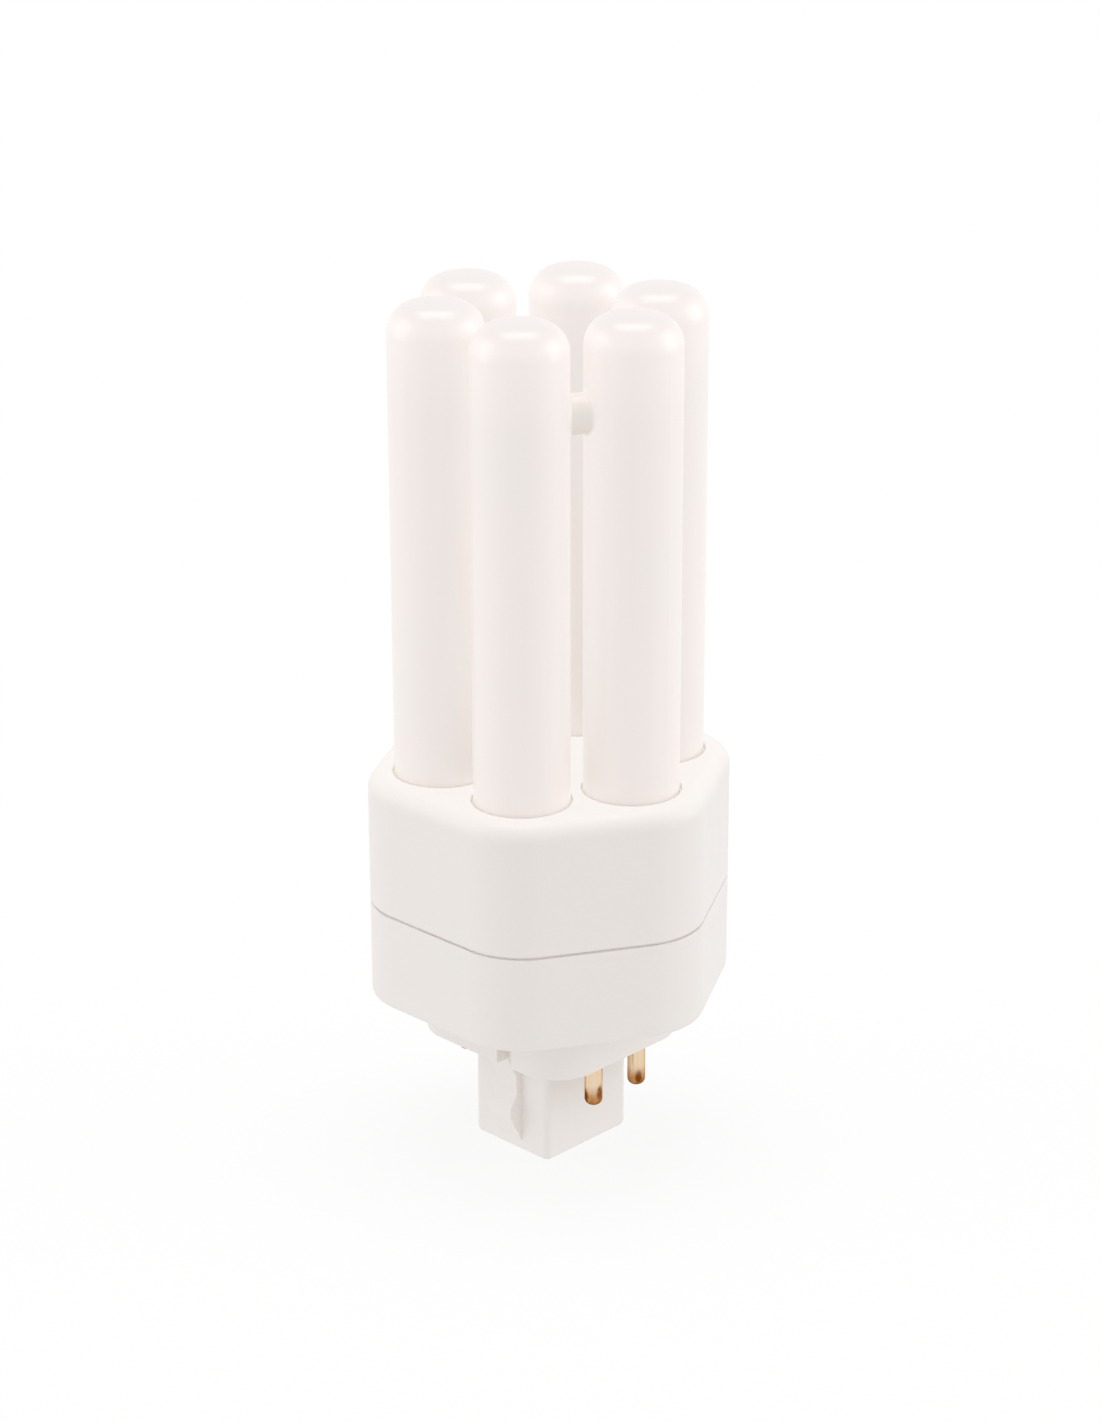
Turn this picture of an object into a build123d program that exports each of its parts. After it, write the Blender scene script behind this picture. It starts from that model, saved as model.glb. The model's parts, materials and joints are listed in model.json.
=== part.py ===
from build123d import *
import os
from math import cos, radians, sqrt

# Plug-in lamp: six opal domed tubes, joined in pairs by a small bridge, stand in a
# rounded hexagonal housing in two halves. Below it a rounded square collar carries four
# contact pins beside a square plug post with a snap wedge on two sides.
# Millimetres, +Z towards the tubes. The origin is the centre of the pin pattern on the
# seat face, the lower face of the collar. X runs along the long side of the pin pattern.

# Contact pins
PIN_SPACING_X = 23.0
PIN_SPACING_Y = 8.0
PIN_DIAMETER = 2.3
PIN_LENGTH = 5.8
PIN_TIP_RADIUS = 0.85
PIN_SEAT_DIAMETER = 2.8
PIN_HEAD_DIAMETER = 3.6
PIN_HEAD_HEIGHT = 0.6
PIN_HOLE_CLEARANCE = 0.03

# Plug post and its snap wedges
POST_X = 13.2
POST_Y = 15.0
POST_LENGTH = 14.9
POST_WALL = 1.6
POST_EDGE_RADIUS = 1.0
POST_END_RADIUS = 0.8
WEDGE_WIDTH = 4.0
WEDGE_START = 1.55
WEDGE_PEAK_HEIGHT = 6.2
WEDGE_PEAK = 2.4
WEDGE_NOTCH_HEIGHT = 8.4
WEDGE_NOTCH = 0.9
WEDGE_FLARE_HEIGHT = 11.0
WEDGE_FLARE = 2.8
WEDGE_BEND_RADIUS = 2.0

# Collar above the seat face
COLLAR_MARGIN = 2.1
COLLAR_Y = 25.4
COLLAR_CORNER_RADIUS = 6.0
COLLAR_EDGE_RADIUS = 0.25
COLLAR_HEIGHT = 7.4
COLLAR_WALL = 1.5
COLLAR_FLOOR = 2.4
PIN_BOSS_WALL = 1.2
KEY_SLOT_X = 4.05
KEY_SLOT_WIDTH = 2.5
KEY_SLOT_DEPTH = 1.9

# Tubes
TUBE_DIAMETER = 12.0
TUBE_GAP = 2.04
TUBE_WALL = 1.0
TUBE_REACH = 60.5
TUBE_KNUCKLE_RADIUS = 3.8
TUBE_CROWN_RADIUS = 12.0
BRIDGE_DIAMETER = 5.0
BRIDGE_BORE = 3.0
BRIDGE_FLARE = 0.3
BRIDGE_BELOW_TOP = 12.0
PAIRS = {"right": (300, 0), "back": (60, 120), "left": (180, 240)}
TUBE_ANGLES = (0, 60, 120, 180, 240, 300)

# Housing halves
HOUSING_MARGIN = 3.38
HOUSING_WALL = 1.8
LOWER_HEIGHT = 12.6
UPPER_HEIGHT = 17.5
TOP_PLATE = 2.0
LOWER_FLOOR = 1.8
TOP_EDGE_RADIUS = 2.2
BOTTOM_EDGE_RADIUS = 0.5
SEAM_GAP = 0.2
SEAM_DEPTH = 0.45
SEAM_UPPER_RADIUS = 0.4
SEAM_LOWER_RADIUS = 0.2
LIP_HEIGHT = 3.0
LIP_ROOT = 2.0
LIP_THICKNESS = 0.9
LIP_CLEARANCE = 0.1

# Tube sockets in the upper half
SOCKET_GAP = 0.25
SOCKET_DEPTH = 9.4
SOCKET_LEDGE = 1.6
SOCKET_MOUTH_RADIUS = 0.15
SLEEVE_WALL = 1.2
THROAT_DIAMETER = 8.8
BOND_RECESS = 0.5
BOND_CLEARANCE = 0.02

# Driver board and what stands on it
BOARD_THICKNESS = 1.6
BOARD_CLEARANCE = 0.1
BOARD_EDGE_GAP = 0.4
BOARD_LAND = 2.0
RIB_THICKNESS = 1.4
STRIP_WIDTH = 6.5
STRIP_THICKNESS = 1.0
STRIP_OFFSET = 1.5
STRIP_HEADROOM = 5.8
STRIP_TAB_WIDTH = 4.0
STRIP_TAB_REACH = 0.8
SLOT_CLEARANCE = 0.15
CHIP_WIDTH = 3.5
CHIP_LENGTH = 2.8
CHIP_HEIGHT = 0.7
CHIP_COUNT = 8
CHIP_MARGIN = 4.0
LEAD_DIAMETER = 0.8
LEAD_CLEARANCE = 0.05
LEAD_SOCKET_DEPTH = 3.0

# Driver components under the board
COMPONENT_GAP = 0.6
CAN_DIAMETER = 8.0
CAN_HEIGHT = 12.0
CAN_EDGE_RADIUS = 0.5
CAN_GROOVE_HEIGHT = 1.8
CAN_GROOVE_RADIUS = 0.35
FILM_LENGTH = 9.0
FILM_DEPTH = 4.5
FILM_HEIGHT = 8.0
FILM_EDGE_RADIUS = 0.5
CHOKE_LENGTH = 9.0
CHOKE_DEPTH = 4.0
CHOKE_HEIGHT = 9.0
CHOKE_YOKE = 1.5
CHOKE_CENTRE_LEG = 2.6
CHOKE_COIL_OVERHANG = 2.4
CHOKE_CLEARANCE = 0.15
RECTIFIER_LENGTH = 4.7
RECTIFIER_LEGS = 2
CONTROL_LENGTH = 4.9
CONTROL_LEGS = 4
PACKAGE_WIDTH = 3.9
PACKAGE_HEIGHT = 1.5
LEG_WIDTH = 0.45
LEG_REACH = 1.0
LEG_THICKNESS = 0.2

# Worked-out sizes
TUBE_RADIUS = TUBE_DIAMETER / 2
TUBE_BORE_RADIUS = TUBE_RADIUS - TUBE_WALL
RING_RADIUS = TUBE_DIAMETER + TUBE_GAP
HOUSING_CORNER = TUBE_RADIUS + HOUSING_MARGIN
CAVITY_CORNER = HOUSING_CORNER - HOUSING_WALL
LIP_CORNER = CAVITY_CORNER - LIP_CLEARANCE
LIP_INNER_CORNER = LIP_CORNER - LIP_THICKNESS
BOARD_CORNER = LIP_INNER_CORNER - BOARD_EDGE_GAP
FLAT_TURN = (TUBE_ANGLES[1] - TUBE_ANGLES[0]) / 2
FLAT_REACH = RING_RADIUS * cos(radians(FLAT_TURN))
COLLAR_X = PIN_SPACING_X + 2 * COLLAR_MARGIN

HOUSING_BOTTOM = COLLAR_HEIGHT
FLOOR_TOP = HOUSING_BOTTOM + LOWER_FLOOR
PIN_TOP = FLOOR_TOP + PIN_HEAD_HEIGHT
SEAM = HOUSING_BOTTOM + LOWER_HEIGHT
LOWER_TOP = SEAM - SEAM_GAP / 2
UPPER_BOTTOM = SEAM + SEAM_GAP / 2
HOUSING_TOP = SEAM + UPPER_HEIGHT
TUBE_TOP = HOUSING_TOP + TUBE_REACH
TUBE_FOOT = HOUSING_TOP - SOCKET_DEPTH
SLEEVE_BOTTOM = TUBE_FOOT - SOCKET_LEDGE
BOARD_TOP = SLEEVE_BOTTOM - BOARD_CLEARANCE
BOARD_BOTTOM = BOARD_TOP - BOARD_THICKNESS
STRIP_TOP = TUBE_TOP - TUBE_WALL - STRIP_HEADROOM
SOCKET_RADIUS = TUBE_RADIUS + SOCKET_GAP
SLEEVE_RADIUS = SOCKET_RADIUS + SLEEVE_WALL
PIN_PLACES = GridLocations(PIN_SPACING_X, PIN_SPACING_Y, 2, 2).locations

# Component places: one in each quarter of the board, and the control chip beside the rectifier
HALF_GAP = COMPONENT_GAP / 2
PACKAGE_ROW = -HALF_GAP - PACKAGE_WIDTH / 2 - LEG_REACH
CAN_PLACE = (-HALF_GAP - CAN_DIAMETER / 2, HALF_GAP + CAN_DIAMETER / 2)
FILM_PLACE = (HALF_GAP + FILM_LENGTH / 2, -HALF_GAP - FILM_DEPTH / 2)
CHOKE_PLACE = (HALF_GAP + CHOKE_LENGTH / 2, HALF_GAP + CHOKE_DEPTH / 2 + CHOKE_COIL_OVERHANG)
RECTIFIER_PLACE = (-HALF_GAP - RECTIFIER_LENGTH / 2, PACKAGE_ROW)
CONTROL_PLACE = (-HALF_GAP - RECTIFIER_LENGTH - COMPONENT_GAP - CONTROL_LENGTH / 2, PACKAGE_ROW)

FROM_BOTTOM = (Align.CENTER, Align.CENTER, Align.MIN)
FROM_TOP = (Align.CENTER, Align.CENTER, Align.MAX)


def rod(radius, bottom, top):
    """Upright cylinder on the lamp's axis between two heights."""
    return Pos(0, 0, bottom) * Cylinder(radius, top - bottom, align=FROM_BOTTOM)


def block(size_x, size_y, bottom, top):
    """Box centred on the lamp's axis between two heights."""
    return Pos(0, 0, bottom) * Box(size_x, size_y, top - bottom, align=FROM_BOTTOM)


def hexagon(corner_radius, bottom, top):
    """Rounded hexagonal prism with its corner arcs centred on the tubes."""
    ring = [Vector(RING_RADIUS, 0).rotate(Axis.Z, angle) for angle in TUBE_ANGLES]
    outline = offset(Polygon(*ring, align=None), corner_radius, kind=Kind.ARC)
    return Pos(0, 0, bottom) * extrude(outline, top - bottom)


def at_tube(angle):
    """Place on a tube's axis, with local X pointing away from the lamp's axis."""
    return Rot(0, 0, angle) * Pos(RING_RADIUS, 0, 0)


def tube_body(radius, top, knuckle, crown):
    """Closed tube from the socket ledge to a domed top of two tangent arcs."""
    crown_centre = top - crown
    knuckle_x = radius - knuckle
    knuckle_z = crown_centre + sqrt((crown - knuckle) ** 2 - knuckle_x ** 2)
    stretch = crown / (crown - knuckle)
    meeting = (knuckle_x * stretch, crown_centre + (knuckle_z - crown_centre) * stretch)
    shoulder = TangentArc((radius, knuckle_z), meeting, tangent=(0, 1))
    cap = TangentArc(meeting, (0, top), tangent=shoulder % 1)
    sides = Polyline((0, top), (0, TUBE_FOOT), (radius, TUBE_FOOT), (radius, knuckle_z))
    return revolve(Plane.XZ * make_face([shoulder, cap, sides]), Axis.Z)


def make_tube_pair(first_angle, second_angle):
    """Two hollow opal tubes joined by a flared hollow bridge, blown as one piece."""
    outside = tube_body(TUBE_RADIUS, TUBE_TOP, TUBE_KNUCKLE_RADIUS, TUBE_CROWN_RADIUS)
    inside = tube_body(
        TUBE_BORE_RADIUS,
        TUBE_TOP - TUBE_WALL,
        TUBE_KNUCKLE_RADIUS - TUBE_WALL,
        TUBE_CROWN_RADIUS - TUBE_WALL,
    )
    places = [at_tube(first_angle), at_tube(second_angle)]
    bridge_angle = first_angle + FLAT_TURN
    middle = Rot(0, 0, bridge_angle) * Pos(FLAT_REACH, 0, TUBE_TOP - BRIDGE_BELOW_TOP) * Rot(90, 0, 0)
    bridge = middle * Cylinder(BRIDGE_DIAMETER / 2, RING_RADIUS)
    bridge_bore = middle * Cylinder(BRIDGE_BORE / 2, RING_RADIUS)
    pair = places[0] * outside + places[1] * outside + bridge
    joints = pair.edges().filter_by(lambda edge: is_bridge_joint(edge, middle))
    pair = fillet(joints, min(BRIDGE_FLARE, 0.45 * TUBE_GAP))
    return pair - places[0] * inside - places[1] * inside - bridge_bore


def is_bridge_joint(edge, middle):
    """True for the closed curves where the bridge meets the two tubes."""
    return (edge.center(CenterOf.BOUNDING_BOX) - middle.position).length < BRIDGE_DIAMETER / 2


def make_upper_housing():
    """Upper half: a shell with six tube sockets hanging from its top plate."""
    shell = hexagon(HOUSING_CORNER, UPPER_BOTTOM, HOUSING_TOP)
    shell = fillet(shell.faces().sort_by(Axis.Z)[-1].edges(), TOP_EDGE_RADIUS)
    shell = fillet(shell.faces().sort_by(Axis.Z)[0].edges(), SEAM_UPPER_RADIUS)
    plate_bottom = HOUSING_TOP - TOP_PLATE
    sleeves = [at_tube(angle) * rod(SLEEVE_RADIUS, SLEEVE_BOTTOM, plate_bottom) for angle in TUBE_ANGLES]
    shell -= hexagon(CAVITY_CORNER, UPPER_BOTTOM, plate_bottom) - sleeves
    for angle in TUBE_ANGLES:
        shell -= at_tube(angle) * rod(SOCKET_RADIUS, TUBE_FOOT, HOUSING_TOP)
        shell -= at_tube(angle) * rod(THROAT_DIAMETER / 2, SLEEVE_BOTTOM, TUBE_FOOT)
    mouths = shell.faces().sort_by(Axis.Z)[-1].inner_wires()
    return fillet(ShapeList(edge for wire in mouths for edge in wire.edges()), SOCKET_MOUTH_RADIUS)


def make_snap_wedge():
    """Wedge on one side of the post: lead-in, rounded peak, notch, and a back that flares to the seat face."""
    half = POST_Y / 2
    profile = Polyline(
        (half - POST_WALL / 2, WEDGE_START),
        (half, WEDGE_START),
        (half + WEDGE_PEAK, WEDGE_PEAK_HEIGHT),
        (half + WEDGE_NOTCH, WEDGE_NOTCH_HEIGHT),
        (half + WEDGE_NOTCH, WEDGE_FLARE_HEIGHT),
        (half + WEDGE_FLARE, POST_LENGTH),
        (half - POST_WALL / 2, POST_LENGTH),
        close=True,
    )
    face = make_face(profile)
    bends = face.vertices().filter_by(lambda spot: spot.X > half and spot.Y < POST_LENGTH)
    wedge = extrude(Plane.YZ * fillet(bends, WEDGE_BEND_RADIUS), WEDGE_WIDTH / 2, both=True)
    return Pos(0, 0, -POST_LENGTH) * wedge


def make_post():
    """Plug post below the seat face, closed at its end."""
    post = block(POST_X, POST_Y, -POST_LENGTH, COLLAR_FLOOR)
    post = fillet(post.edges().filter_by(Axis.Z), POST_EDGE_RADIUS)
    post = fillet(post.faces().sort_by(Axis.Z)[0].edges(), POST_END_RADIUS)
    wedge = make_snap_wedge()
    return post + wedge + Rot(0, 0, 180) * wedge


def make_collar():
    """Rounded square collar with a key slot in its front flat."""
    collar = extrude(RectangleRounded(COLLAR_X, COLLAR_Y, COLLAR_CORNER_RADIUS), FLOOR_TOP)
    collar = fillet(collar.faces().sort_by(Axis.Z)[0].edges(), COLLAR_EDGE_RADIUS)
    slot = block(KEY_SLOT_WIDTH, 2 * KEY_SLOT_DEPTH, 0, HOUSING_BOTTOM)
    return collar - Pos(KEY_SLOT_X, -COLLAR_Y / 2, 0) * slot


def make_board_rib():
    """Rib on one flat of the lower half, from its floor up to the board."""
    inner = FLAT_REACH + BOARD_CORNER - BOARD_LAND
    wall_reach = FLAT_REACH + CAVITY_CORNER + HOUSING_WALL / 2 - inner
    lip_reach = FLAT_REACH + LIP_INNER_CORNER + LIP_THICKNESS / 2 - inner
    floor = HOUSING_BOTTOM + LOWER_FLOOR / 2
    align = (Align.MIN, Align.CENTER, Align.MIN)
    foot = Box(wall_reach, RIB_THICKNESS, SEAM - LIP_ROOT - floor, align=align)
    shelf = Box(lip_reach, RIB_THICKNESS, BOARD_BOTTOM - floor, align=align)
    return Pos(inner, 0, floor) * (foot + shelf)


def make_lower_housing():
    """Lower half: a hollow hexagonal cup with the collar and the plug post below it."""
    body = hexagon(HOUSING_CORNER, HOUSING_BOTTOM, LOWER_TOP)
    body = fillet(body.faces().sort_by(Axis.Z)[0].edges(), BOTTOM_EDGE_RADIUS)
    body = fillet(body.faces().sort_by(Axis.Z)[-1].edges(), SEAM_LOWER_RADIUS)
    lip_top = SEAM + LIP_HEIGHT
    body += hexagon(HOUSING_CORNER - SEAM_DEPTH, LOWER_TOP, UPPER_BOTTOM)
    body += hexagon(LIP_CORNER, UPPER_BOTTOM, lip_top)
    body += make_collar() + make_post()
    body -= hexagon(CAVITY_CORNER, FLOOR_TOP, SEAM - LIP_ROOT)
    body -= hexagon(LIP_INNER_CORNER, SEAM - LIP_ROOT, lip_top)
    well_x = PIN_SPACING_X - PIN_SEAT_DIAMETER - 2 * PIN_BOSS_WALL
    well_y = COLLAR_Y - 2 * KEY_SLOT_DEPTH - 2 * COLLAR_WALL
    body -= block(well_x, well_y, COLLAR_FLOOR, FLOOR_TOP)
    body -= block(POST_X - 2 * POST_WALL, POST_Y - 2 * POST_WALL, POST_WALL - POST_LENGTH, COLLAR_FLOOR)
    rib = make_board_rib()
    for angle in TUBE_ANGLES:
        body += Rot(0, 0, angle + FLAT_TURN) * rib
    hole = rod(PIN_SEAT_DIAMETER / 2 + PIN_HOLE_CLEARANCE, 0, FLOOR_TOP)
    for place in PIN_PLACES:
        body -= place * hole
    return body


def make_contact_pin():
    """Brass pin with a rounded tip, a thicker seat in the collar and a head on the housing's floor."""
    shank = rod(PIN_DIAMETER / 2, -PIN_LENGTH, 0)
    shank = fillet(shank.edges().group_by(Axis.Z)[0], PIN_TIP_RADIUS)
    shank += rod(PIN_SEAT_DIAMETER / 2, 0, FLOOR_TOP)
    head = rod(PIN_HEAD_DIAMETER / 2, FLOOR_TOP, PIN_TOP)
    lead_socket = rod(LEAD_DIAMETER / 2 + LEAD_CLEARANCE, PIN_TOP - LEAD_SOCKET_DEPTH, PIN_TOP)
    return shank + head - lead_socket


def make_input_lead():
    """Wire from the bottom of a pin's socket up through the board."""
    return rod(LEAD_DIAMETER / 2, PIN_TOP - LEAD_SOCKET_DEPTH, BOARD_TOP)


def make_socket_bond():
    """Ring of adhesive between a tube's foot and its socket."""
    bond_top = HOUSING_TOP - BOND_RECESS
    outside = rod(SOCKET_RADIUS - BOND_CLEARANCE, TUBE_FOOT, bond_top)
    return outside - rod(TUBE_RADIUS + BOND_CLEARANCE, TUBE_FOOT, bond_top)


def make_led_strip():
    """Light strip on the local tube axis, with a tab that passes through the board."""
    strip = block(STRIP_THICKNESS, STRIP_WIDTH, BOARD_TOP, STRIP_TOP)
    tab = block(STRIP_THICKNESS, STRIP_TAB_WIDTH, BOARD_BOTTOM - STRIP_TAB_REACH, BOARD_TOP)
    return Pos(-STRIP_OFFSET, 0, 0) * (strip + tab)


def make_led_chips():
    """Row of light chips on the outward face of one strip."""
    face = STRIP_THICKNESS / 2 - STRIP_OFFSET
    lowest = HOUSING_TOP + CHIP_MARGIN
    pitch = (STRIP_TOP - CHIP_MARGIN - lowest) / (CHIP_COUNT - 1)
    chip = Box(CHIP_HEIGHT, CHIP_WIDTH, CHIP_LENGTH, align=(Align.MIN, Align.CENTER, Align.CENTER))
    return [Pos(face, 0, lowest + pitch * index) * chip for index in range(CHIP_COUNT)]


def make_driver_board():
    """Board with slots for the strips' tabs and holes for the input leads."""
    board = hexagon(BOARD_CORNER, BOARD_BOTTOM, BOARD_TOP)
    slot_x = STRIP_THICKNESS + 2 * SLOT_CLEARANCE
    slot_y = STRIP_TAB_WIDTH + 2 * SLOT_CLEARANCE
    slot = Pos(-STRIP_OFFSET, 0, 0) * block(slot_x, slot_y, BOARD_BOTTOM, BOARD_TOP)
    for angle in TUBE_ANGLES:
        board -= at_tube(angle) * slot
    hole = rod(LEAD_DIAMETER / 2 + LEAD_CLEARANCE, BOARD_BOTTOM, BOARD_TOP)
    for place in PIN_PLACES:
        board -= place * hole
    return board


def under_board(place):
    """Place on the lower face of the board."""
    return Pos(place[0], place[1], BOARD_BOTTOM)


def make_bulk_capacitor():
    """Round can with a crimp groove near the board."""
    can = Cylinder(CAN_DIAMETER / 2, CAN_HEIGHT, align=FROM_TOP)
    can = fillet(can.edges().group_by(Axis.Z)[0], CAN_EDGE_RADIUS)
    groove = Pos(0, 0, -CAN_GROOVE_HEIGHT) * Torus(CAN_DIAMETER / 2, CAN_GROOVE_RADIUS)
    return under_board(CAN_PLACE) * (can - groove)


def make_film_capacitor():
    """Moulded box capacitor with rounded edges, its flat side on the board."""
    box = Box(FILM_LENGTH, FILM_DEPTH, FILM_HEIGHT, align=FROM_TOP)
    rounded = box.edges().filter_by(Axis.Z) + box.faces().sort_by(Axis.Z)[0].edges()
    return under_board(FILM_PLACE) * fillet(rounded, FILM_EDGE_RADIUS)


def make_choke_core():
    """Ferrite core with a centre leg between two windows."""
    window_x = (CHOKE_LENGTH - 2 * CHOKE_YOKE - CHOKE_CENTRE_LEG) / 2
    window_z = CHOKE_HEIGHT - 2 * CHOKE_YOKE
    core = Box(CHOKE_LENGTH, CHOKE_DEPTH, CHOKE_HEIGHT, align=FROM_TOP)
    window = Pos(0, 0, -CHOKE_YOKE) * Box(window_x, CHOKE_DEPTH, window_z, align=FROM_TOP)
    shift = (CHOKE_CENTRE_LEG + window_x) / 2
    return under_board(CHOKE_PLACE) * (core - Pos(shift, 0, 0) * window - Pos(-shift, 0, 0) * window)


def make_choke_coil():
    """Winding round the core's centre leg, filling both windows."""
    wound_x = CHOKE_LENGTH - 2 * CHOKE_YOKE - 2 * CHOKE_CLEARANCE
    wound_y = CHOKE_DEPTH + 2 * CHOKE_COIL_OVERHANG
    wound_z = CHOKE_HEIGHT - 2 * CHOKE_YOKE - 2 * CHOKE_CLEARANCE
    leg_x = CHOKE_CENTRE_LEG + 2 * CHOKE_CLEARANCE
    leg_y = CHOKE_DEPTH + 2 * CHOKE_CLEARANCE
    coil = Box(wound_x, wound_y, wound_z, align=FROM_TOP)
    coil = fillet(coil.edges().filter_by(Axis.Z), CHOKE_COIL_OVERHANG / 2)
    coil -= Box(leg_x, leg_y, wound_z, align=FROM_TOP)
    return under_board(CHOKE_PLACE) * Pos(0, 0, -CHOKE_YOKE - CHOKE_CLEARANCE) * coil


def make_package(length, legs, place):
    """Small moulded package with a row of flat legs on two sides."""
    package = Pos(0, 0, -LEG_THICKNESS) * Box(length, PACKAGE_WIDTH, PACKAGE_HEIGHT, align=FROM_TOP)
    leg = Box(LEG_WIDTH, PACKAGE_WIDTH + 2 * LEG_REACH, 2 * LEG_THICKNESS, align=FROM_TOP)
    for spot in GridLocations(length / legs, 0, legs, 1):
        package += spot * leg
    return under_board(place) * package


def make_parts():
    """Every piece of the lamp by node name."""
    parts = {
        "upper_housing": make_upper_housing(),
        "lower_housing": make_lower_housing(),
        "driver_board": make_driver_board(),
        "bulk_capacitor": make_bulk_capacitor(),
        "film_capacitor": make_film_capacitor(),
        "choke_core": make_choke_core(),
        "choke_coil": make_choke_coil(),
        "bridge_rectifier": make_package(RECTIFIER_LENGTH, RECTIFIER_LEGS, RECTIFIER_PLACE),
        "control_chip": make_package(CONTROL_LENGTH, CONTROL_LEGS, CONTROL_PLACE),
    }
    for side, angles in PAIRS.items():
        parts[f"tube_pair_{side}"] = make_tube_pair(*angles)
    pin = make_contact_pin()
    lead = make_input_lead()
    for number, place in enumerate(PIN_PLACES, start=1):
        parts[f"contact_pin_{number}"] = place * pin
        parts[f"input_lead_{number}"] = place * lead
    strip = make_led_strip()
    chips = make_led_chips()
    bond = make_socket_bond()
    for number, angle in enumerate(TUBE_ANGLES, start=1):
        parts[f"led_strip_{number}"] = at_tube(angle) * strip
        parts[f"led_chips_{number}"] = Compound([at_tube(angle) * chip for chip in chips])
    parts["socket_adhesive"] = Compound([at_tube(angle) * bond for angle in TUBE_ANGLES])
    return parts


os.makedirs("parts", exist_ok=True)
for node, shape in make_parts().items():
    export_step(shape, f"parts/{node}.step")
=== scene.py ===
import json
from math import cos, radians, sin

import bpy
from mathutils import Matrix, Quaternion, Vector


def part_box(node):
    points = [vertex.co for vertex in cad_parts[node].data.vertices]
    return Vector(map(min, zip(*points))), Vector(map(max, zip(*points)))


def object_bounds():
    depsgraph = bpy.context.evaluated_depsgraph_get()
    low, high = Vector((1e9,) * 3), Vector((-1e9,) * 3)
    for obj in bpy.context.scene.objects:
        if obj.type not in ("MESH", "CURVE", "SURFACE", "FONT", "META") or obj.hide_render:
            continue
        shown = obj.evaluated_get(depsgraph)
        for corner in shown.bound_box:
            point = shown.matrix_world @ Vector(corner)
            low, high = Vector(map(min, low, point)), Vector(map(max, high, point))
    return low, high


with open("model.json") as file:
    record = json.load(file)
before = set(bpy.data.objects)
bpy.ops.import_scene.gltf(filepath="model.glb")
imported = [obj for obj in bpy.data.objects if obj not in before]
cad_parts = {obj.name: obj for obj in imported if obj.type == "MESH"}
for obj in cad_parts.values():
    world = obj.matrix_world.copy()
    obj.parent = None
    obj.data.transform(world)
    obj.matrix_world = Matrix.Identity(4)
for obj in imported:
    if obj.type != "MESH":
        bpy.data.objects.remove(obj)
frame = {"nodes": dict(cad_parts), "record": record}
cad_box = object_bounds()

# Sizes are in metres, in the lamp's own frame: +Z towards the tubes, origin on the seat face.
MM = 0.001

# Camera, at the photograph's viewing angle
CAMERA_AZIMUTH = radians(44.378)
CAMERA_ELEVATION = radians(20.986)
CAMERA_ROLL = radians(-0.164)
CAMERA_DISTANCE = 440.38 * MM
CAMERA_AIM = Vector((0, 0, 43.8 * MM))
CAMERA_LENS = 88.604
CAMERA_SENSOR = 36.0

# Floor, which shows the shadow near the lamp and is plain white from FLOOR_FAR on
FLOOR_SIZE = 8.0
FLOOR_HEIGHT = cad_box[0].z - 0.01 * MM
FLOOR_COLOUR = (0.90, 0.90, 0.90)
FLOOR_GLOW = 0.80
FLOOR_NEAR = 60 * MM
FLOOR_FAR = 200 * MM

# Light of the surroundings
AMBIENT = 0.88
AMBIENT_COLOUR = (1.0, 0.985, 0.975)
WHITE = (1.0, 1.0, 1.0)

# Tubes, with heights measured down from their tops. A bridge has its darker tone, partly its own tint and
# partly painted shade, in full up to one distance from its middle and none from another on.
BACK_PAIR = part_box("tube_pair_back")
TUBE_TOP = BACK_PAIR[1].z
# The crown carries painted shade, and the band below it down to the shoulder height carries painted light
CROWN_HEIGHT = 3.2 * MM
SHOULDER_HEIGHT = 14 * MM
BRIDGE_HEIGHT = 12 * MM
BRIDGE_REACH = (BACK_PAIR[0].y + BACK_PAIR[1].y) / 2
BRIDGE_ANGLES = (330, 90, 210)
BRIDGE_TONE_FULL = 2.7 * MM
BRIDGE_TONE_GONE = 2.95 * MM

# Pins, with heights measured up from their tips: painted dark reflection in full up to one height and none
# from another on. A painted dark reflection spot is an angle round the pin and a height.
PINS = ("contact_pin_1", "contact_pin_2", "contact_pin_3", "contact_pin_4")
PIN_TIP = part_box(PINS[0])[0].z
PIN_RADIUS = 1.15 * MM
PIN_DARKEST_TO = 0.8 * MM
PIN_BRIGHT = 3.2 * MM
# Painted dark reflection round the rim of each pin's tip
TIP_DARK_HEIGHT = 0.9 * MM
TIP_DARK_SHARE = 0.6
PAINTED_SPOTS = ((-152, 1.9 * MM), (104, 1.3 * MM))
SPOT_TURN = 75
SPOT_CORE = 0.2 * MM
SPOT_EDGE = 0.65 * MM
SPOT_STRETCH = 0.45

# Winding: pitch of its wire, and length of a wave texture's band at a scale of 1
WIRE_PITCH = 0.35 * MM
WAVE_BAND = 0.31

# Tones, each as linear red, green and blue
HOUSING_TONES = ((0.862, 0.827, 0.804), (0.852, 0.823, 0.799))
HOUSING_GRAIN_TONE = (0.818, 0.791, 0.775)
MILK_TONES = ((0.932, 0.868, 0.843), (0.920, 0.870, 0.843))
STREAK_TONE = (0.897, 0.833, 0.803)
# Painted light: paler band on the tubes' shoulders, lighter towards the crown
PAINTED_SHOULDER_LIGHT = (0.962, 0.898, 0.872)
# Painted shade: greyer crown that offsets the top light on the domes
PAINTED_CROWN_SHADE = (0.790, 0.746, 0.732)
# Bridge tone: partly the clear glass's own tint, partly painted shade of the gap between the tubes
BRIDGE_TINT_AND_SHADE = (0.82, 0.765, 0.715)
BRASS_TONES = ((0.86, 0.69, 0.50), (0.80, 0.61, 0.41))
BRASS_EDGE_TONE = (0.80, 0.52, 0.26)
# Painted dark reflection on the pins, darker towards their tips
PAINTED_DARK_REFLECTION = (0.46, 0.19, 0.045)
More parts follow.
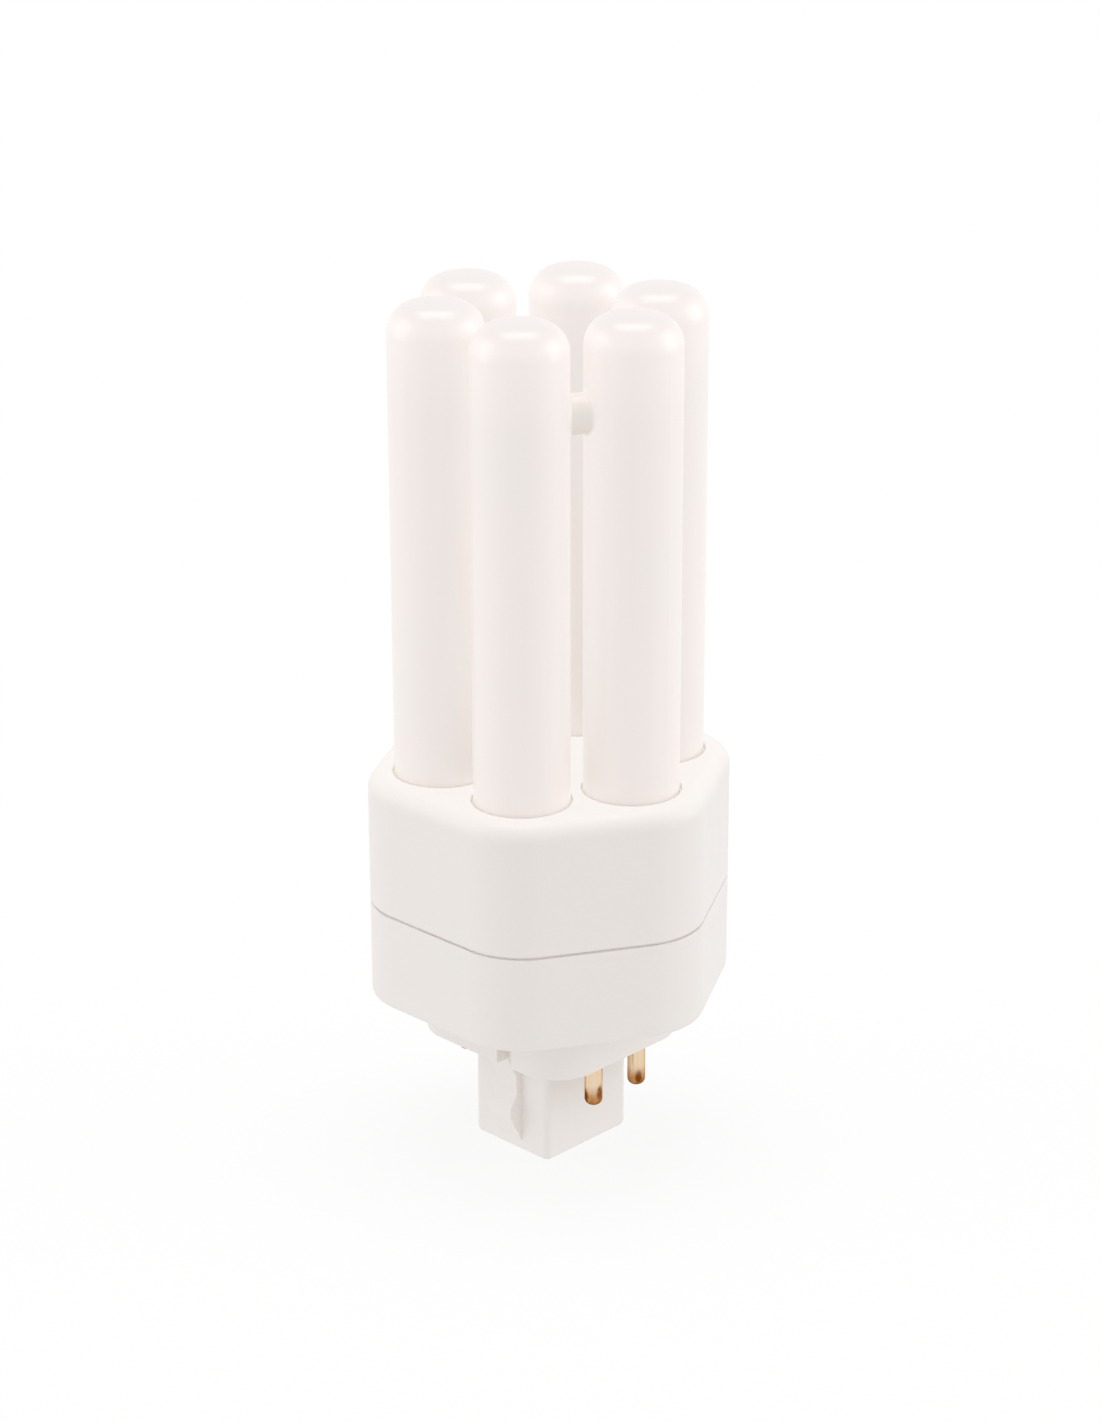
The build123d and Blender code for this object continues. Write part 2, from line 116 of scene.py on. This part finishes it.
# Painted dark reflection spots on the pins' sides and tips
PAINTED_SPOT_TONE = (0.20, 0.05, 0.005)
CEMENT_TONES = ((0.78, 0.74, 0.62), (0.86, 0.83, 0.74))
PHOSPHOR_TONES = ((0.82, 0.66, 0.12), (0.88, 0.76, 0.26))
ENAMEL_TONES = ((0.30, 0.11, 0.04), (0.72, 0.34, 0.16))

# Printed boards: tone of the mask, tone of the tracks, pitch of the tracks
BOARDS = {
    "strip_board": ((0.82, 0.82, 0.79), (0.74, 0.74, 0.70), 3.2 * MM),
    "circuit_board": ((0.02, 0.16, 0.06), (0.05, 0.26, 0.10), 2.6 * MM),
}

# Plain moulded or pressed pieces: darker tone, lighter tone, grain size, roughness, metallic
MOULDINGS = {
    "can_sleeve": ((0.012, 0.013, 0.020), (0.03, 0.032, 0.045), 1.2 * MM, 0.22, 0.0),
    "film_box": ((0.36, 0.07, 0.025), (0.44, 0.10, 0.04), 0.8 * MM, 0.30, 0.0),
    "ferrite": ((0.025, 0.025, 0.028), (0.06, 0.06, 0.065), 0.3 * MM, 0.55, 0.0),
    "black_package": ((0.012, 0.012, 0.013), (0.03, 0.03, 0.032), 0.25 * MM, 0.45, 0.0),
    "lead_wire": ((0.55, 0.54, 0.52), (0.72, 0.71, 0.69), 0.2 * MM, 0.25, 1.0),
}

# Opal tubes and what they hold shade nothing: light passes through them as through milk glass
LETS_LIGHT_THROUGH = ("opal_tube", "strip_board", "light_chip")


def feed(tree, socket, value):
    """Links a socket to another node's output, or sets its value. A colour is red, green and blue."""
    if isinstance(value, bpy.types.NodeSocket):
        tree.links.new(value, socket)
    else:
        socket.default_value = (*value, 1.0) if socket.type == "RGBA" else value


def set_inputs(tree, node, **inputs):
    """Feeds a node's inputs by name, with underscores for spaces."""
    for name, value in inputs.items():
        feed(tree, node.inputs[name.replace("_", " ")], value)


def add_node(tree, kind, settings=None, **inputs):
    """Adds a node, sets its attributes and feeds its inputs."""
    made = tree.nodes.new(kind)
    for name, value in (settings or {}).items():
        setattr(made, name, value)
    set_inputs(tree, made, **inputs)
    return made


def math_node(tree, operation, first, second):
    """Result of a product or a comparison of two numbers."""
    made = add_node(tree, "ShaderNodeMath", {"operation": operation})
    feed(tree, made.inputs[0], first)
    feed(tree, made.inputs[1], second)
    return made.outputs[0]


def ramp(tree, value, low, high, start=0.0, end=1.0):
    """Smooth change from start to end while a value goes from low to high."""
    made = add_node(
        tree,
        "ShaderNodeMapRange",
        {"interpolation_type": "SMOOTHSTEP"},
        Value=value,
        From_Min=low,
        From_Max=high,
        To_Min=start,
        To_Max=end,
    )
    return made.outputs["Result"]


def between(tree, share, start, end):
    """Number that goes evenly from start to end with a share from 0 to 1."""
    return add_node(tree, "ShaderNodeMapRange", Value=share, To_Min=start, To_Max=end).outputs["Result"]


def place(tree):
    """Position in an object's own frame, which is the lamp's frame for the CAD nodes."""
    return add_node(tree, "ShaderNodeTexCoord").outputs["Object"]


def height(tree):
    """Height in the lamp's frame."""
    return add_node(tree, "ShaderNodeSeparateXYZ", Vector=place(tree)).outputs["Z"]


def nearest(tree, points, upright=1.0):
    """Distance to the nearest of several points, with heights counted less where upright is under 1."""
    spot = add_node(tree, "ShaderNodeMapping", Vector=place(tree), Scale=(1, 1, upright)).outputs[0]
    found = None
    for x, y, z in points:
        away = add_node(tree, "ShaderNodeVectorMath", {"operation": "DISTANCE"})
        feed(tree, away.inputs[0], spot)
        feed(tree, away.inputs[1], (x, y, z * upright))
        distance = away.outputs["Value"]
        found = distance if found is None else math_node(tree, "MINIMUM", found, distance)
    return found


def noise(tree, size, detail, stretch=(1, 1, 1)):
    """Soft random field with features about one size across, or longer along an axis that is stretched."""
    scale = tuple(1 / (size * along) for along in stretch)
    mapped = add_node(tree, "ShaderNodeMapping", Vector=place(tree), Scale=scale).outputs[0]
    return add_node(tree, "ShaderNodeTexNoise", Vector=mapped, Scale=1.0, Detail=detail).outputs["Fac"]


def blend(tree, factor, first, second):
    """Mix of two colours."""
    made = add_node(tree, "ShaderNodeMix", {"data_type": "RGBA"})
    feed(tree, made.inputs[0], factor)
    feed(tree, made.inputs[6], first)
    feed(tree, made.inputs[7], second)
    return made.outputs[2]


def bump(tree, relief, depth, under=None):
    """Surface relief of a real depth, laid over another relief if one is given."""
    made = add_node(tree, "ShaderNodeBump", Height=relief, Distance=depth)
    if under is not None:
        feed(tree, made.inputs["Normal"], under)
    return made.outputs["Normal"]


def start_material(name):
    """New material with its node tree and its shader."""
    material = bpy.data.materials.new(name)
    material.use_nodes = True
    shader = material.node_tree.nodes["Principled BSDF"]
    return material, material.node_tree, shader


def housing_plastic():
    """Satin white moulding: fine spark-eroded grain, faint flow clouds and slight waviness."""
    material, tree, shader = start_material("housing_plastic")
    clouds = ramp(tree, noise(tree, 14 * MM, 2.0), 0.35, 0.65)
    grain = noise(tree, 0.28 * MM, 2.0)
    tone = blend(tree, clouds, *HOUSING_TONES)
    tone = blend(tree, ramp(tree, grain, 0.3, 0.7, 0.0, 0.25), tone, HOUSING_GRAIN_TONE)
    waves = bump(tree, noise(tree, 9 * MM, 1.0), 0.03 * MM)
    set_inputs(
        tree,
        shader,
        Base_Color=tone,
        Roughness=ramp(tree, noise(tree, 3 * MM, 4.0), 0.3, 0.7, 0.40, 0.50),
        Normal=bump(tree, grain, 0.004 * MM, under=waves),
        Subsurface_Weight=0.08,
        Subsurface_Radius=(0.9, 0.75, 0.65),
        Subsurface_Scale=0.6 * MM,
        IOR=1.49,
    )
    return material


def bridge_middles():
    """Middle of each bridge between two tubes."""
    turns = [radians(angle) for angle in BRIDGE_ANGLES]
    level = TUBE_TOP - BRIDGE_HEIGHT
    return [(BRIDGE_REACH * cos(turn), BRIDGE_REACH * sin(turn), level) for turn in turns]


def opal_tube():
    """Milk-white satin tube with faint streaks, painted light on the shoulders, painted shade on the
    crown, and bridges darkened partly by their own tint and partly by painted shade.
    """
    material, tree, shader = start_material("opal_tube")
    clouds = ramp(tree, noise(tree, 16 * MM, 2.0, stretch=(1, 1, 1.6)), 0.35, 0.65)
    streaks = ramp(tree, noise(tree, 2.2 * MM, 2.0, stretch=(1, 1, 14)), 0.35, 0.75, 0.0, 0.35)
    crown_foot = TUBE_TOP - CROWN_HEIGHT
    # Painted light on the shoulder band, paler towards the crown
    shoulder = ramp(tree, height(tree), TUBE_TOP - SHOULDER_HEIGHT, crown_foot)
    # Painted shade on the crown, darker towards the top
    crown = ramp(tree, height(tree), crown_foot, TUBE_TOP)
    # Darker tone near each bridge: partly its own tint, partly painted shade of the gap
    bridge = ramp(tree, nearest(tree, bridge_middles()), BRIDGE_TONE_FULL, BRIDGE_TONE_GONE, 1.0, 0.0)
    tone = blend(tree, clouds, *MILK_TONES)
    tone = blend(tree, streaks, tone, STREAK_TONE)
    tone = blend(tree, shoulder, tone, PAINTED_SHOULDER_LIGHT)
    tone = blend(tree, crown, tone, PAINTED_CROWN_SHADE)
    tone = blend(tree, bridge, tone, BRIDGE_TINT_AND_SHADE)
    set_inputs(
        tree,
        shader,
        Base_Color=tone,
        Roughness=ramp(tree, noise(tree, 4 * MM, 3.0), 0.3, 0.7, 0.285, 0.33),
        Normal=bump(tree, noise(tree, 5 * MM, 1.0, stretch=(1, 1, 4)), 0.02 * MM),
        IOR=1.85,
    )
    return material


def painted_spot_middles():
    """Middles of the painted dark reflection spots on the pins, turned another way from pin to pin."""
    points = []
    for number, name in enumerate(PINS):
        low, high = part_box(name)
        for angle, above in PAINTED_SPOTS:
            turn = radians(angle + SPOT_TURN * number)
            x = (low.x + high.x) / 2 + PIN_RADIUS * cos(turn)
            y = (low.y + high.y) / 2 + PIN_RADIUS * sin(turn)
            points.append((x, y, PIN_TIP + above))
    return points


def pin_brass():
    """Drawn brass with fine lines along the pin, and painted dark reflection and dark reflection spots
    towards its tip.
    """
    material, tree, shader = start_material("pin_brass")
    lines = noise(tree, 0.12 * MM, 3.0, stretch=(1, 1, 30))
    patches = ramp(tree, noise(tree, 0.7 * MM, 3.0), 0.35, 0.65, 0.8, 1.0)
    # Painted dark reflection, darker towards the tip and broken up in patches
    dark_reflection = ramp(tree, height(tree), PIN_TIP + PIN_DARKEST_TO, PIN_TIP + PIN_BRIGHT, 1.0, 0.0)
    dark_reflection = math_node(tree, "MULTIPLY", dark_reflection, patches)
    # Painted dark reflection spots on the pins' sides, and a painted dark rim at the tip
    spots = nearest(tree, painted_spot_middles(), upright=SPOT_STRETCH)
    dark_spots = ramp(tree, spots, SPOT_CORE, SPOT_EDGE, 1.0, 0.0)
    tip = ramp(tree, height(tree), PIN_TIP, PIN_TIP + TIP_DARK_HEIGHT, TIP_DARK_SHARE, 0.0)
    dark_spots = math_node(tree, "MAXIMUM", dark_spots, tip)
    dark_spots = math_node(tree, "MULTIPLY", dark_spots, patches)
    tone = blend(tree, ramp(tree, lines, 0.3, 0.7), *BRASS_TONES)
    tone = blend(tree, dark_reflection, tone, PAINTED_DARK_REFLECTION)
    tone = blend(tree, dark_spots, tone, PAINTED_SPOT_TONE)
    set_inputs(
        tree,
        shader,
        Base_Color=tone,
        Metallic=1.0,
        Specular_Tint=BRASS_EDGE_TONE,
        Roughness=ramp(tree, dark_reflection, 0.0, 1.0, 0.29, 0.38),
        Normal=bump(tree, lines, 0.004 * MM),
    )
    return material


def adhesive():
    """Cured cement, slightly yellow and lumpy."""
    material, tree, shader = start_material("adhesive")
    lumps = noise(tree, 0.8 * MM, 4.0)
    set_inputs(
        tree,
        shader,
        Base_Color=blend(tree, lumps, *CEMENT_TONES),
        Roughness=ramp(tree, lumps, 0.3, 0.7, 0.55, 0.75),
        Normal=bump(tree, lumps, 0.05 * MM),
    )
    return material


def printed_board(name, mask, track, pitch):
    """Solder mask over copper tracks, with the weave of the board showing faintly."""
    material, tree, shader = start_material(name)
    tracks = add_node(
        tree,
        "ShaderNodeTexBrick",
        {"offset": 0.5},
        Vector=place(tree),
        Scale=1 / pitch,
        Mortar_Size=0.08,
        Mortar_Smooth=0.2,
    ).outputs["Fac"]
    weave = noise(tree, 0.3 * MM, 2.0)
    tone = blend(tree, tracks, mask, track)
    set_inputs(
        tree,
        shader,
        Base_Color=blend(tree, ramp(tree, weave, 0.3, 0.7, 0.0, 0.2), tone, track),
        Roughness=ramp(tree, weave, 0.3, 0.7, 0.30, 0.42),
        Normal=bump(tree, tracks, 0.03 * MM),
    )
    return material


def light_chip():
    """Phosphor under clear resin, varying in colour in fine grains."""
    material, tree, shader = start_material("light_chip")
    grains = noise(tree, 0.15 * MM, 3.0)
    set_inputs(
        tree,
        shader,
        Base_Color=blend(tree, grains, *PHOSPHOR_TONES),
        Roughness=ramp(tree, grains, 0.3, 0.7, 0.25, 0.4),
        Normal=bump(tree, grains, 0.01 * MM),
        Coat_Weight=0.6,
        Coat_Roughness=0.08,
    )
    return material


def copper_winding():
    """Enamelled wire laid in turns across the coil."""
    material, tree, shader = start_material("copper_winding")
    turns = add_node(
        tree,
        "ShaderNodeTexWave",
        {"bands_direction": "Z", "wave_profile": "SIN"},
        Vector=place(tree),
        Scale=WAVE_BAND / WIRE_PITCH,
        Distortion=0.4,
        Detail=1.0,
    ).outputs["Fac"]
    set_inputs(
        tree,
        shader,
        Base_Color=blend(tree, turns, *ENAMEL_TONES),
        Metallic=0.7,
        Roughness=ramp(tree, turns, 0.0, 1.0, 0.45, 0.28),
        Normal=bump(tree, turns, 0.08 * MM),
    )
    return material


def moulded(name, dark, light, grain_size, roughness, metallic):
    """Plain moulded or pressed piece with a fine two-tone grain."""
    material, tree, shader = start_material(name)
    grain = noise(tree, grain_size, 4.0)
    set_inputs(
        tree,
        shader,
        Base_Color=blend(tree, ramp(tree, grain, 0.3, 0.7), dark, light),
        Roughness=ramp(tree, grain, 0.3, 0.7, roughness, roughness + 0.12),
        Normal=bump(tree, grain, 0.01 * MM),
        Metallic=metallic,
    )
    return material


def dress_nodes():
    """Gives every CAD node its material, by the record's slot."""
    materials = {
        "housing_plastic": housing_plastic(),
        "opal_tube": opal_tube(),
        "pin_brass": pin_brass(),
        "adhesive": adhesive(),
        "light_chip": light_chip(),
        "copper_winding": copper_winding(),
    }
    for slot, look in BOARDS.items():
        materials[slot] = printed_board(slot, *look)
    for slot, look in MOULDINGS.items():
        materials[slot] = moulded(slot, *look)
    slots = {row["node"]: row["material_slot"] for row in frame["record"]["subparts"]}
    for name, node in frame["nodes"].items():
        stops_light = slots[name] not in LETS_LIGHT_THROUGH
        node.data.materials.clear()
        node.data.materials.append(materials[slots[name]])
        node.visible_diffuse = stops_light
        node.visible_shadow = stops_light


def seen_directly(tree):
    """1 for what the camera sees straight on, in a reflection or through glass."""
    path = add_node(tree, "ShaderNodeLightPath").outputs
    mirrored = math_node(tree, "MAXIMUM", path["Is Glossy Ray"], path["Is Transmission Ray"])
    return math_node(tree, "MAXIMUM", path["Is Camera Ray"], mirrored)


def floor_material():
    """White floor that keeps the shadow near the lamp and runs out to plain white further off."""
    material = bpy.data.materials.new("floor_white")
    material.use_nodes = True
    tree = material.node_tree
    tree.nodes.clear()
    far = ramp(tree, nearest(tree, [(0, 0, 0)]), FLOOR_NEAR, FLOOR_FAR)
    glow_share = math_node(tree, "MULTIPLY", seen_directly(tree), between(tree, far, FLOOR_GLOW, 1.0))
    diffuse = add_node(tree, "ShaderNodeBsdfDiffuse", Color=FLOOR_COLOUR)
    glow = add_node(tree, "ShaderNodeEmission", Color=WHITE, Strength=1.0)
    mixed = add_node(tree, "ShaderNodeMixShader", Fac=glow_share)
    feed(tree, mixed.inputs[1], diffuse.outputs[0])
    feed(tree, mixed.inputs[2], glow.outputs[0])
    add_node(tree, "ShaderNodeOutputMaterial", Surface=mixed.outputs[0])
    return material


def add_floor():
    """Plain floor just under the lamp's lowest point, which doesn't shade the lamp from below."""
    bpy.ops.mesh.primitive_plane_add(size=FLOOR_SIZE, location=(0, 0, FLOOR_HEIGHT))
    floor = bpy.context.object
    floor.name = "floor"
    floor.data.materials.append(floor_material())
    floor.visible_diffuse = False


def add_world():
    """White surroundings, dimmer as a source of light than as a thing seen."""
    world = bpy.data.worlds.new("studio")
    bpy.context.scene.world = world
    world.use_nodes = True
    tree = world.node_tree
    tree.nodes.clear()
    seen = seen_directly(tree)
    colour = blend(tree, seen, AMBIENT_COLOUR, WHITE)
    strength = between(tree, seen, AMBIENT, 1.0)
    background = add_node(tree, "ShaderNodeBackground", Color=colour, Strength=strength)
    add_node(tree, "ShaderNodeOutputWorld", Surface=background.outputs[0])


def camera_axes():
    """Directions to the camera, to the right in the picture and up, level with the floor."""
    towards = Vector((sin(CAMERA_AZIMUTH), -cos(CAMERA_AZIMUTH), 0))
    rightwards = Vector((cos(CAMERA_AZIMUTH), sin(CAMERA_AZIMUTH), 0))
    return towards, rightwards, Vector((0, 0, 1))


def add_softbox(name, right, front, up, width, depth, watts):
    """Rectangular soft light at an offset from the lamp as the camera sees it, aimed at the lamp."""
    towards, rightwards, upwards = camera_axes()
    light = bpy.data.lights.new(name, "AREA")
    light.shape = "RECTANGLE"
    light.size = width
    light.size_y = depth
    light.energy = watts
    holder = bpy.data.objects.new(name, light)
    bpy.context.scene.collection.objects.link(holder)
    holder.location = CAMERA_AIM + rightwards * right + towards * front + upwards * up
    holder.rotation_euler = (CAMERA_AIM - holder.location).to_track_quat("-Z", "Y").to_euler()


def add_camera():
    """Camera at the photograph's viewing angle."""
    data = bpy.data.cameras.new("camera")
    data.lens = CAMERA_LENS
    data.sensor_width = CAMERA_SENSOR
    camera = bpy.data.objects.new("camera", data)
    bpy.context.scene.collection.objects.link(camera)
    towards, _, upwards = camera_axes()
    back = towards * cos(CAMERA_ELEVATION) + upwards * sin(CAMERA_ELEVATION)
    camera.location = CAMERA_AIM + back * CAMERA_DISTANCE
    turned = (-back).to_track_quat("-Z", "Y") @ Quaternion((0, 0, 1), CAMERA_ROLL)
    camera.rotation_euler = turned.to_euler()
    bpy.context.scene.camera = camera


bpy.context.scene.view_settings.view_transform = "Standard"
add_world()
add_floor()
add_camera()
add_softbox("top_light", right=0.0, front=-0.12, up=0.75, width=0.60, depth=0.40, watts=1.15)
add_softbox("left_light", right=-0.80, front=0.0, up=0.25, width=0.6, depth=0.8, watts=1.05)
add_softbox("right_light", right=0.85, front=-0.05, up=0.25, width=0.6, depth=0.8, watts=1.45)
dress_nodes()
